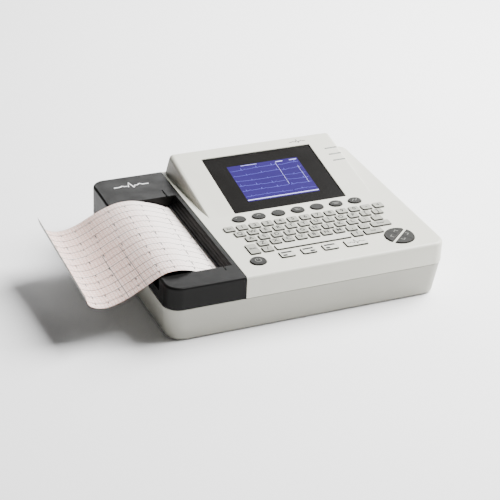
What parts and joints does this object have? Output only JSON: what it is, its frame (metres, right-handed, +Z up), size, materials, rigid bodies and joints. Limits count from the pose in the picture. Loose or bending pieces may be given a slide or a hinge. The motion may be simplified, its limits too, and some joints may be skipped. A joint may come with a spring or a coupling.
{
  "type": "electrocardiograph",
  "caption": "Desktop ECG machine with a rubber keyboard, a tilted blue display and a side strip recorder under a hinged lid, with a curled printed strip.",
  "frame": {"origin": "bottom centre of the whole object's box, the curled paper strip included, on the plane that the feet stand on", "axes": "+X to the right along the front, +Y to the back, +Z up"},
  "size_m": [0.5247, 0.33, 0.119],
  "materials": {
    "white_plastic": "fine satin texture",
    "warm_grey_plastic": "fine satin texture",
    "charcoal_plastic": "satin texture",
    "key_rubber": "matt silicone",
    "black_window": "smoked, polished",
    "lcd_blue": "blue liquid crystal panel in a tray",
    "circuit_board": "solder mask",
    "steel": "zinc plated",
    "brass": "machined",
    "black_plastic": "moulded",
    "rubber": "matt",
    "nylon": "moulded",
    "paper": "thermal chart paper",
    "green_lens": "tinted",
    "battery_wrap": "shrink wrap"
  },
  "bodies": {
    "base": {"battery_cover": "warm_grey_plastic", "battery_pack": "battery_wrap", "display_window": "black_window", "equipotential_stud": "brass", "foot_back_left": "rubber", "foot_back_right": "rubber", "foot_front_left": "rubber", "foot_front_right": "rubber", "indicator_1": "green_lens", "indicator_2": "green_lens", "indicator_3": "green_lens", "keypad_board": "circuit_board", "keypad_mat": "key_rubber", "lcd_module": "lcd_blue", "lid_hinge_pin": "steel", "lower_housing": "warm_grey_plastic", "main_board": "circuit_board", "mains_inlet": "black_plastic", "mains_switch_frame": "black_plastic", "motor_bracket": "steel", "paper_tray": "charcoal_plastic", "paper_web": "paper", "patient_cable_socket": "steel", "platen_bearing_back": "brass", "platen_bearing_front": "brass", "power_supply": "steel", "serial_port": "steel", "side_plate_back": "steel", "side_plate_front": "steel", "stepper_motor": "steel", "upper_housing": "white_plastic", "usb_port": "steel"},
    "lid": {"recorder_lid": "charcoal_plastic", "print_head": "steel", "tear_bar": "charcoal_plastic", "paper_strip": "paper"},
    "platen": {"platen_roller": "rubber", "platen_shaft": "steel", "platen_gear": "nylon"},
    "roll": {"paper_roll": "paper", "roll_spindle": "steel"},
    "idler": {"idler_gear": "nylon"},
    "motor_rotor": {"motor_pinion": "nylon"},
    "rocker": {"mains_rocker": "black_plastic"},
    "function_key_1": {"function_key_1": "key_rubber"},
    "function_key_2": {"function_key_2": "key_rubber"},
    "function_key_3": {"function_key_3": "key_rubber"},
    "function_key_4": {"function_key_4": "key_rubber"},
    "function_key_5": {"function_key_5": "key_rubber"},
    "function_key_6": {"function_key_6": "key_rubber"},
    "function_key_7": {"function_key_7": "key_rubber"},
    "power_key": {"power_key": "key_rubber"},
    "special_key_1": {"special_key_1": "key_rubber"},
    "special_key_2": {"special_key_2": "key_rubber"},
    "special_key_3": {"special_key_3": "key_rubber"},
    "special_key_4": {"special_key_4": "key_rubber"},
    "space_bar": {"space_bar": "key_rubber"},
    "arrow_key_upper": {"arrow_key_upper": "key_rubber"},
    "arrow_key_lower": {"arrow_key_lower": "key_rubber"}
  },
  "joints": [
    {"name": "lid_hinge", "type": "hinge", "parent": "base", "child": "lid", "pos_m": [-0.04775, 0.00001, 0.0856], "axis": [0, 0.9998, 0.0218], "range_deg": [0, 75]},
    {"name": "roll_spin", "type": "hinge", "parent": "base", "child": "roll", "pos_m": [-0.11575, -0.02045, 0.03804], "axis": [0, 0.9998, 0.0218], "continuous": true},
    {"name": "platen_spin", "type": "hinge", "parent": "base", "child": "platen", "pos_m": [-0.05825, -0.02083, 0.06454], "axis": [0, 0.9998, 0.0218], "continuous": true},
    {"name": "idler_spin", "type": "hinge", "parent": "base", "child": "idler", "pos_m": [-0.06625, 0.09524, 0.05321], "axis": [0, 0.9998, 0.0218], "continuous": true},
    {"name": "motor_spin", "type": "hinge", "parent": "base", "child": "motor_rotor", "pos_m": [-0.07903, 0.09534, 0.04856], "axis": [0, 0.9998, 0.0218], "continuous": true},
    {"name": "mains_rocker_tilt", "type": "hinge", "parent": "base", "child": "rocker", "pos_m": [0.16725, 0.1572, 0.029], "axis": [-1, 0, 0], "range_deg": [0, 16]},
    {"name": "function_key_1_press", "type": "slide", "parent": "base", "child": "function_key_1", "axis": [0, 0.0218, -0.9998], "range_m": [0, 0.0012], "stiffness_N_per_m": 400},
    {"name": "function_key_2_press", "type": "slide", "parent": "base", "child": "function_key_2", "axis": [0, 0.0218, -0.9998], "range_m": [0, 0.0012], "stiffness_N_per_m": 400},
    {"name": "function_key_3_press", "type": "slide", "parent": "base", "child": "function_key_3", "axis": [0, 0.0218, -0.9998], "range_m": [0, 0.0012], "stiffness_N_per_m": 400},
    {"name": "function_key_4_press", "type": "slide", "parent": "base", "child": "function_key_4", "axis": [0, 0.0218, -0.9998], "range_m": [0, 0.0012], "stiffness_N_per_m": 400},
    {"name": "function_key_5_press", "type": "slide", "parent": "base", "child": "function_key_5", "axis": [0, 0.0218, -0.9998], "range_m": [0, 0.0012], "stiffness_N_per_m": 400},
    {"name": "function_key_6_press", "type": "slide", "parent": "base", "child": "function_key_6", "axis": [0, 0.0218, -0.9998], "range_m": [0, 0.0012], "stiffness_N_per_m": 400},
    {"name": "function_key_7_press", "type": "slide", "parent": "base", "child": "function_key_7", "axis": [0, 0.0218, -0.9998], "range_m": [0, 0.0012], "stiffness_N_per_m": 400},
    {"name": "power_key_press", "type": "slide", "parent": "base", "child": "power_key", "axis": [0, 0.0218, -0.9998], "range_m": [0, 0.0012], "stiffness_N_per_m": 400},
    {"name": "special_key_1_press", "type": "slide", "parent": "base", "child": "special_key_1", "axis": [0, 0.0218, -0.9998], "range_m": [0, 0.0012], "stiffness_N_per_m": 400},
    {"name": "special_key_2_press", "type": "slide", "parent": "base", "child": "special_key_2", "axis": [0, 0.0218, -0.9998], "range_m": [0, 0.0012], "stiffness_N_per_m": 400},
    {"name": "special_key_3_press", "type": "slide", "parent": "base", "child": "special_key_3", "axis": [0, 0.0218, -0.9998], "range_m": [0, 0.0012], "stiffness_N_per_m": 400},
    {"name": "special_key_4_press", "type": "slide", "parent": "base", "child": "special_key_4", "axis": [0, 0.0218, -0.9998], "range_m": [0, 0.0012], "stiffness_N_per_m": 400},
    {"name": "space_bar_press", "type": "slide", "parent": "base", "child": "space_bar", "axis": [0, 0.0218, -0.9998], "range_m": [0, 0.0012], "stiffness_N_per_m": 400},
    {"name": "arrow_key_upper_press", "type": "slide", "parent": "base", "child": "arrow_key_upper", "axis": [0, 0.0218, -0.9998], "range_m": [0, 0.0012], "stiffness_N_per_m": 400},
    {"name": "arrow_key_lower_press", "type": "slide", "parent": "base", "child": "arrow_key_lower", "axis": [0, 0.0218, -0.9998], "range_m": [0, 0.0012], "stiffness_N_per_m": 400}
  ],
  "couplings": [
    {"joint": "platen_spin", "follows": "roll_spin", "ratio": -4.0741},
    {"joint": "idler_spin", "follows": "roll_spin", "ratio": 2.716},
    {"joint": "motor_spin", "follows": "roll_spin", "ratio": -6.5185}
  ]
}
